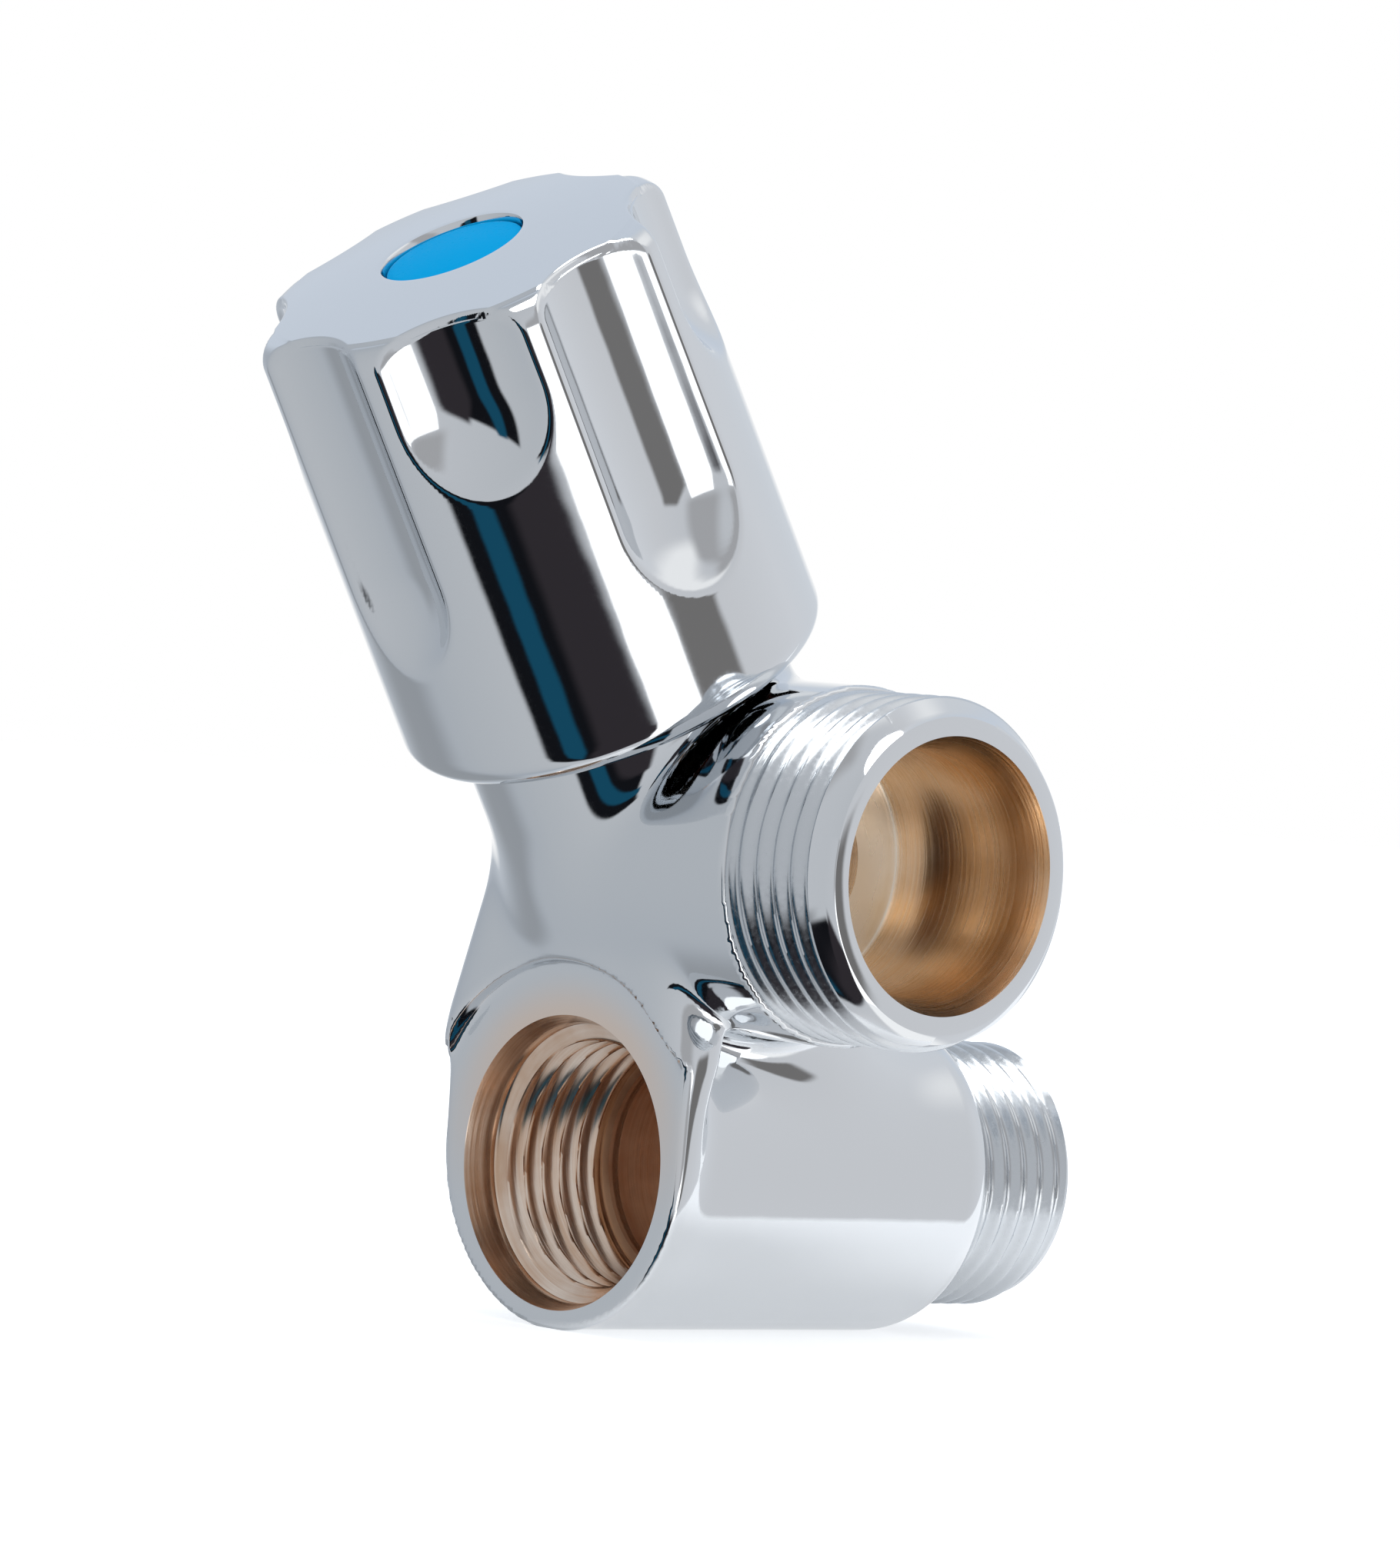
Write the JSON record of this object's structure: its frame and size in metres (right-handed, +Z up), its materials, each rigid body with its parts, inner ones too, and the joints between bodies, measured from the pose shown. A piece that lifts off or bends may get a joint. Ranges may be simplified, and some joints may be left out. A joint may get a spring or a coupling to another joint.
{
  "type": "appliance connection valve",
  "caption": "Chrome-plated valve with a threaded wall tail, a threaded front port, a threaded hose outlet and a fluted handwheel on a leaning neck.",
  "frame": {"origin": "on the tube axis, where the tail thread leaves the casting's shoulder", "axes": "+Y along the tube out of the tail, +X along the hose outlet, +Z up; the spindle leans towards -Y"},
  "size_m": [0.0462, 0.0748, 0.087],
  "materials": {
    "chrome_plating": "polished chrome plating",
    "brass": "turned brass",
    "steel": "bright stainless steel",
    "rubber": "black sealing rubber",
    "fibre": "red fibre gasket",
    "slide_plastic": "white slide washer",
    "index_blue": "glossy blue plastic"
  },
  "bodies": {
    "valve": {"valve_body": "chrome_plating", "bonnet": "brass", "bonnet_gasket": "fibre"},
    "turning": {"spindle": "brass", "spindle_clip": "steel", "slide_washer": "slide_plastic", "spindle_o_ring_lower": "rubber", "spindle_o_ring_upper": "rubber", "handwheel": "chrome_plating", "lock_washer": "steel", "handwheel_screw": "steel", "index_cap": "index_blue"},
    "closing": {"plunger": "brass", "plunger_o_ring": "rubber", "seat_washer": "rubber", "washer_plate": "steel", "washer_nut": "brass"}
  },
  "joints": [
    {"name": "handwheel_turn", "type": "hinge", "parent": "valve", "child": "turning", "pos_m": [0, -0.02602, 0.0242], "axis": [0, -0.5373, 0.8434], "range_deg": [0, 1035]},
    {"name": "plunger_travel", "type": "slide", "parent": "valve", "child": "closing", "axis": [0, -0.5373, 0.8434], "range_m": [0, 0.00432]}
  ],
  "couplings": [
    {"joint": "plunger_travel", "follows": "handwheel_turn", "m_per_rad": 0.00023873}
  ]
}
